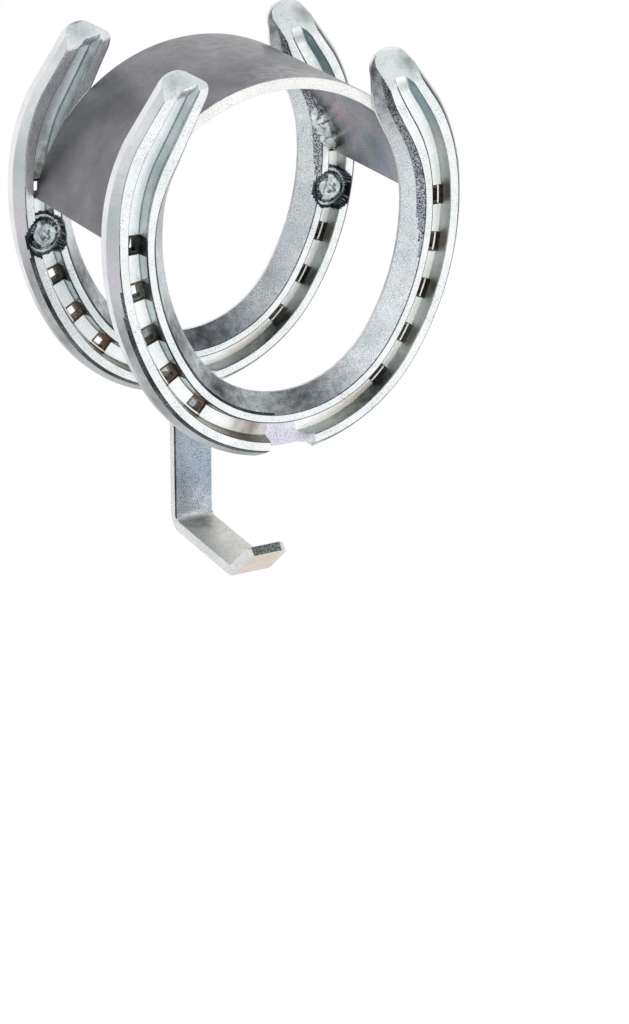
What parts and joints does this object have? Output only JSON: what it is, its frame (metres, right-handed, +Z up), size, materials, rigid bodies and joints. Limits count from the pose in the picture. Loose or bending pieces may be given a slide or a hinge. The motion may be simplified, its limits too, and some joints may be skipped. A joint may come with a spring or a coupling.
{
  "type": "bridle rack",
  "caption": "Wall rack for a bridle: paired horseshoes joined by a curved band that the crown lies on, with a bent strip hook below.",
  "frame": {"origin": "on the wall plane, in the middle of the back shoe's toe", "axes": "+Z up, +Y into the wall, +X to the right when facing the wall; the shoes' ground faces look towards -Y"},
  "size_m": [0.134, 0.1066, 0.1931],
  "materials": {
    "zinc_plated_steel": "bright zinc plate on forged steel",
    "zinc_plated_strip": "satin zinc plate on rolled flat bar",
    "weld_metal": "zinc plate over weld beads",
    "screw_steel": "bright zinc plate"
  },
  "bodies": {
    "root": {"back_shoe": "zinc_plated_steel", "front_shoe": "zinc_plated_steel", "arch_band": "zinc_plated_strip", "hook_strip": "zinc_plated_strip", "arch_back_weld_left": "weld_metal", "arch_back_weld_right": "weld_metal", "arch_front_weld_left": "weld_metal", "arch_front_weld_right": "weld_metal", "hook_weld": "weld_metal", "wall_screw_left": "screw_steel", "wall_screw_right": "screw_steel"}
  },
  "joints": []
}
